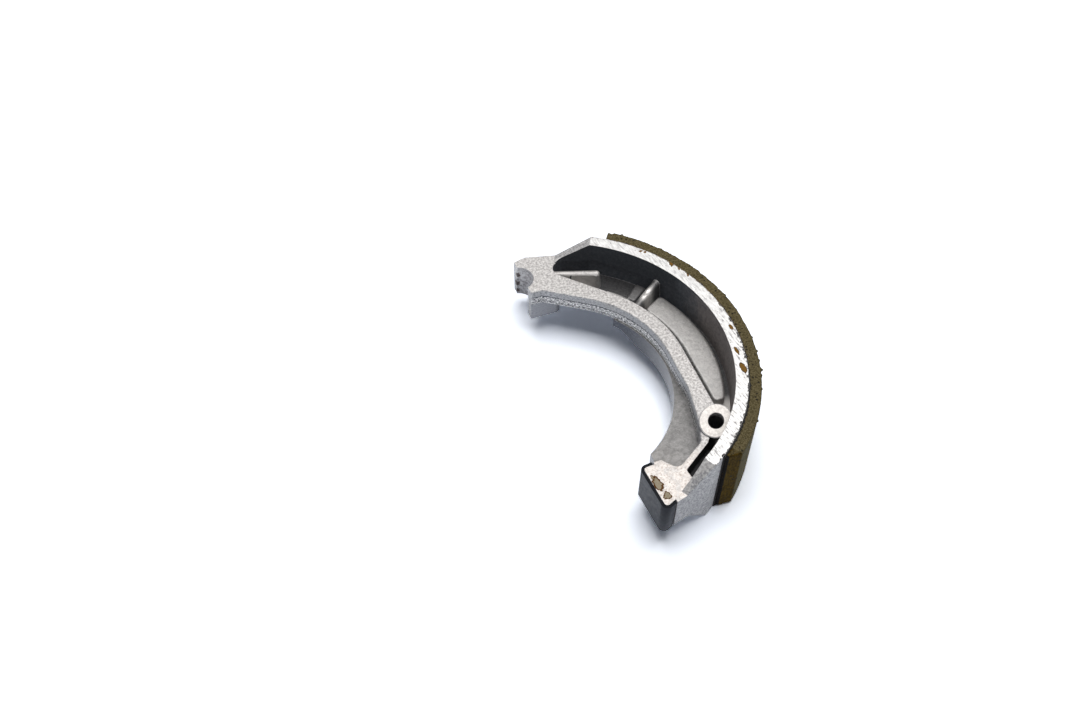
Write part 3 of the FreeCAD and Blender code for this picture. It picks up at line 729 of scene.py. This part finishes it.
def soften_edges(node, width, sharp_angle):
    """Joins the mesh at its seams and rounds its sharp edges."""
    weld = node.modifiers.new("join seams", "WELD")
    weld.merge_threshold = 0.002 * MM
    bevel = node.modifiers.new("rounded edges", "BEVEL")
    bevel.width = width
    bevel.segments = 2
    bevel.limit_method = "ANGLE"
    bevel.angle_limit = math.radians(sharp_angle)
    bevel.use_clamp_overlap = True
    bevel.harden_normals = True


def box_lattice(counts, point):
    """Vertices and quads of a closed box skin, its points placed by point(u, v, w) with each from 0 to 1."""
    found, points, quads = {}, [], []

    def vertex(i, j, k):
        if (i, j, k) not in found:
            found[i, j, k] = len(points)
            points.append(point(i / counts[0], j / counts[1], k / counts[2]))
        return found[i, j, k]

    for axis in range(3):
        a, b = [n for n in range(3) if n != axis]
        for side in (0, counts[axis]):
            for i in range(counts[a]):
                for j in range(counts[b]):
                    ring = []
                    for di, dj in ((0, 0), (1, 0), (1, 1), (0, 1)):
                        key = [0, 0, 0]
                        key[axis], key[a], key[b] = side, i + di, j + dj
                        ring.append(vertex(*key))
                    outward = (side > 0) == (axis != 1)
                    quads.append(ring if outward else ring[::-1])
    return points, quads


def new_piece(name, points, quads, material):
    """A smooth mesh piece from points in millimetres, fixed to the shoe's one body."""
    mesh = bpy.data.meshes.new(name)
    mesh.from_pydata([Vector(p) * MM for p in points], [], quads)
    mesh.polygons.foreach_set("use_smooth", [True] * len(mesh.polygons))
    mesh.materials.append(material)
    mesh.update()
    piece = bpy.data.objects.new(name, mesh)
    bpy.context.scene.collection.objects.link(piece)
    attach(piece, "root")
    return piece


def chord_radius(angle, a, b):
    """Distance from the axis, at an angle, of the straight line from a to b."""
    direction = polar(1.0, angle)
    run = b - a
    return (a.x * run.y - a.y * run.x) / (direction.x * run.y - direction.y * run.x)


def lining_outer_radius(angle):
    """The lining's outer face, with the bevels that ease its two ends."""
    anchor_from = LINING_HALF_ANGLE - ANCHOR_BEVEL_ANGLE
    cam_from = CAM_BEVEL_ANGLE - LINING_HALF_ANGLE
    if angle > anchor_from:
        foot = polar(LINING_IN_R + ANCHOR_BEVEL_FOOT, LINING_HALF_ANGLE)
        return chord_radius(angle, foot, polar(DRUM_R, anchor_from))
    if angle < cam_from:
        foot = polar(LINING_IN_R + CAM_BEVEL_FOOT, -LINING_HALF_ANGLE)
        return chord_radius(angle, foot, polar(DRUM_R, cam_from))
    return DRUM_R


def eased(share, ends):
    """Spreads points so that they lie closer together near both ends."""
    return share - ends * math.sin(2 * math.pi * share) / (2 * math.pi)


# How far wear reaches in from the lining's edges, and how deep it goes, in millimetres.
EDGE_ZONE = 0.6
CORNER_ROUND = 0.12
NICK_DEEP = 0.42
ROUGHNESS_DEEP = 0.05
BEAD_INSET = 0.26
BURRS = [
    # turn, reach outwards, half width in degrees
    (9.9, 0.55, 0.35), (-13.5, 0.50, 0.30), (-20.6, 0.75, 0.45), (-22.8, 0.45, 0.30), (50.4, 0.55, 0.30),
    (-39.2, 0.45, 0.40), (3.1, 0.18, 0.30), (-8.2, 0.35, 0.40), (-17.3, 0.35, 0.30), (-27.5, 0.35, 0.35),
    (22.4, 0.25, 0.30), (36.7, 0.28, 0.35),
]


def lining_point(u, v, w):
    """A point of the lining's worn skin: u outwards, v from the cam end to the anchor end, w upwards."""
    angle = LINING_HALF_ANGLE * (2 * eased(v, 0.5) - 1)
    outer = lining_outer_radius(angle)
    radius = LINING_IN_R + (outer - LINING_IN_R) * eased(u, 0.6)
    level = LINING_LOW + (LINING_TOP - LINING_LOW) * eased(w, 0.85)
    spot = polar(radius, angle, level)
    from_joint, from_face = radius - LINING_IN_R, outer - radius
    from_low, from_top = level - LINING_LOW, LINING_TOP - level
    # The points on the joint itself keep their corners.
    to_side = from_face if u < 0.01 else min(from_joint, from_face)
    to_rim = min(from_low, from_top)
    near_corner = max(0.0, 1 - max(to_side, to_rim) / EDGE_ZONE)
    nick = max(0.0, noise.fractal(spot * 1.1, 0.8, 2.1, 4) * 0.9 - 0.02)
    rough = ROUGHNESS_DEEP * (noise.fractal(spot * 2.0, 1.0, 2.0, 3) * 0.5 + 0.5)
    worn = near_corner * (CORNER_ROUND + NICK_DEEP * nick) + rough
    if from_face < EDGE_ZONE:
        radius -= worn
    if from_face < 0.3 and from_top < 0.5:
        radius += sum(reach * math.exp(-(((angle - at) / wide) ** 2)) for at, reach, wide in BURRS)
    if to_rim < EDGE_ZONE:
        level += worn if from_low < from_top else -worn
    return polar(max(radius, LINING_IN_R), angle, level)


def lining(material):
    """The friction lining with its worn, nicked and burred edges."""
    points, quads = box_lattice((9, 300, 56), lining_point)
    piece = new_piece("lining_block", points, quads, material)
    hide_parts("friction_lining")


def bead(name, material, level):
    """The uneven bead of adhesive squeezed out along the joint between table and lining."""
    start, end, steps, sides = -55.6, 55.3, 620, 8
    thin, swelling, end_swelling = 0.14, 0.20, 0.14
    out_share, up_share = 1.25, 0.8
    joint_radius, end_from, edge_gap = 51.4, -18, 0.02
    points, quads = [], []
    for i in range(steps + 1):
        angle = start + (end - start) * i / steps
        spot = polar(joint_radius, angle, level)
        swell = max(0.0, noise.fractal(spot * 0.8, 0.9, 2.2, 4) + 0.25)
        near_end = max(0.0, min(1.0, (end_from - angle) / 18))
        thick = thin + swelling * min(swell, 1.4) + end_swelling * near_end
        middle = joint_radius + 0.02 + 0.16 * noise.noise(spot * 1.7)
        for j in range(sides):
            a = 2 * math.pi * j / sides
            up = level + thick * up_share * math.sin(a)
            up = min(max(up, edge_gap), SHOE_WIDTH - edge_gap)
            points.append(polar(middle + thick * out_share * math.cos(a), angle, up))
    for i in range(steps):
        for j in range(sides):
            k = (j + 1) % sides
            quads.append((i * sides + j, i * sides + k, (i + 1) * sides + k, (i + 1) * sides + j))
    quads.append(tuple(range(sides))[::-1])
    quads.append(tuple(steps * sides + j for j in range(sides)))
    new_piece(name, points, quads, material)


# Stage, light and camera.


def seen_directly(tree):
    """1 for rays that show a thing to the camera, straight or by reflection, and 0 for rays that light the shoe."""
    path = tree.nodes.new("ShaderNodeLightPath").outputs
    return largest(tree, path["Is Camera Ray"], path["Is Glossy Ray"], path["Is Transmission Ray"])


def floor():
    """A sheet of white paper just under the shoe."""
    half, gap = 0.42, 0.05 * MM
    mesh = bpy.data.meshes.new("paper_floor")
    corners = [(-half, -half, 0), (half, -half, 0), (half, half, 0), (-half, half, 0)]
    mesh.from_pydata(corners, [], [(0, 1, 2, 3)])
    material = bpy.data.materials.new("white paper")
    material.use_nodes = True
    tree = material.node_tree
    tree.nodes.clear()
    paper = tint(tree, seen_directly(tree), (0.58, 0.63, 0.71), (2.25, 2.38, 2.6))
    diffuse = place(tree, "ShaderNodeBsdfDiffuse", {"Color": paper})
    out = tree.nodes.new("ShaderNodeOutputMaterial")
    tree.links.new(diffuse.outputs[0], out.inputs["Surface"])
    mesh.materials.append(material)
    piece = bpy.data.objects.new("paper_floor", mesh)
    piece.location.z = -gap
    bpy.context.scene.collection.objects.link(piece)


def softbox(name, azimuth, elevation, distance, wide, high, power, light_colour):
    """An area lamp that looks at the shoe. Azimuth 0 is over +Y and 90 over +X."""
    lamp = bpy.data.lights.new(name, "AREA")
    lamp.shape = "RECTANGLE"
    lamp.size, lamp.size_y = wide, high
    lamp.energy = power
    lamp.color = light_colour
    a, e = math.radians(azimuth), math.radians(elevation)
    away = Vector((math.sin(a) * math.cos(e), math.cos(a) * math.cos(e), math.sin(e)))
    holder = bpy.data.objects.new(name, lamp)
    holder.location = Vector((0.03, 0.0, 0.0)) + away * distance
    holder.rotation_mode = "QUATERNION"
    holder.rotation_quaternion = away.to_track_quat("Z", "Y")
    bpy.context.scene.collection.objects.link(holder)


def surroundings():
    """A white room to the camera and in reflections, and a dim one as a lamp."""
    world = bpy.data.worlds.new("studio")
    bpy.context.scene.world = world
    world.use_nodes = True
    tree = world.node_tree
    tree.nodes.clear()
    room = place(tree, "ShaderNodeBackground", {"Color": (0.80, 0.88, 1.0, 1.0), "Strength": 0.015})
    white = place(tree, "ShaderNodeBackground", {"Color": (1.0, 1.0, 1.0, 1.0), "Strength": 1.0})
    mix = place(tree, "ShaderNodeMixShader", {0: seen_directly(tree), 1: room.outputs[0], 2: white.outputs[0]})
    out = tree.nodes.new("ShaderNodeOutputWorld")
    tree.links.new(mix.outputs[0], out.inputs["Surface"])


def camera():
    """The photograph's viewpoint, worked out for a frame 1080 pixels wide."""
    frame_pixels, focal_pixels = 1080, 1159.62
    stand = Vector((-75.7, -185.7, 278.85)) * MM
    azimuth, elevation, roll = (math.radians(v) for v in (20.25, 51.415, 0.343))
    ahead = Vector(
        (math.sin(azimuth) * math.cos(elevation), math.cos(azimuth) * math.cos(elevation), -math.sin(elevation))
    )
    level_right = Vector((math.cos(azimuth), -math.sin(azimuth), 0.0))
    level_up = level_right.cross(ahead)
    right = level_right * math.cos(roll) + level_up * math.sin(roll)
    up = level_up * math.cos(roll) - level_right * math.sin(roll)
    lens = bpy.data.cameras.new("photo camera")
    lens.sensor_fit = "HORIZONTAL"
    lens.sensor_width = 36.0
    lens.lens = lens.sensor_width * focal_pixels / frame_pixels
    lens.clip_start, lens.clip_end = 0.01, 20.0
    holder = bpy.data.objects.new("photo camera", lens)
    turned = Matrix((right, up, -ahead)).transposed().to_4x4()
    holder.matrix_world = Matrix.Translation(stand) @ turned
    bpy.context.scene.collection.objects.link(holder)
    bpy.context.scene.camera = holder


camera()
surroundings()
floor()
softbox("overhead", 38.0, 78.0, 0.8, 0.82, 0.72, 4.9, (1.0, 0.98, 0.96))
softbox("low front panel", 200.0, 1.2, 0.9, 1.1, 0.034, 1.6, (0.92, 0.96, 1.0))

ALUMINIUM = cast_aluminium()
COMPOSITE = friction_composite()
ADHESIVE = cured_adhesive()
STEEL = blackened_steel()

soften_edges(finish_node("shoe_casting", ALUMINIUM), 0.16 * MM, 32.0)
soften_edges(finish_node("cam_cap", STEEL), 0.12 * MM, 40.0)
finish_node("bond_layer", ADHESIVE)
finish_node("friction_lining", COMPOSITE)
lining(COMPOSITE)
bead("adhesive_bead_top", ADHESIVE, SHOE_WIDTH - BEAD_INSET)
bead("adhesive_bead_bottom", ADHESIVE, BEAD_INSET)

bpy.context.scene.view_settings.view_transform = "Standard"
